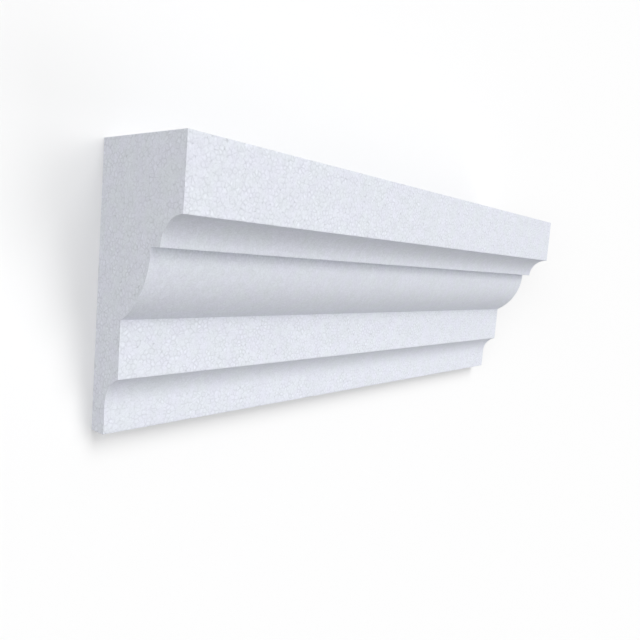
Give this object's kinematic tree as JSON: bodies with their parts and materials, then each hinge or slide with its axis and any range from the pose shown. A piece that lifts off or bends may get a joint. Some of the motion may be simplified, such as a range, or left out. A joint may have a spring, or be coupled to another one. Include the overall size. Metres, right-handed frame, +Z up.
{
  "type": "foam cornice moulding",
  "caption": "Straight foam cornice moulding with a flat back: plain crown, cove, ovolo, middle fascia, lower cove and foot band, cut square at both ends.",
  "frame": {"origin": "middle of the flat back face, on the wall plane", "axes": "+X along the moulding, to the right as seen from in front; +Y into the wall, the outward normal of the back face; +Z up, towards the crown"},
  "size_m": [0.582, 0.0895, 0.2],
  "materials": {
    "bead_foam": "bare expanded bead foam, cut with a hot wire, cool white, matte"
  },
  "bodies": {
    "root": {"foam_moulding": "bead_foam"}
  },
  "joints": []
}
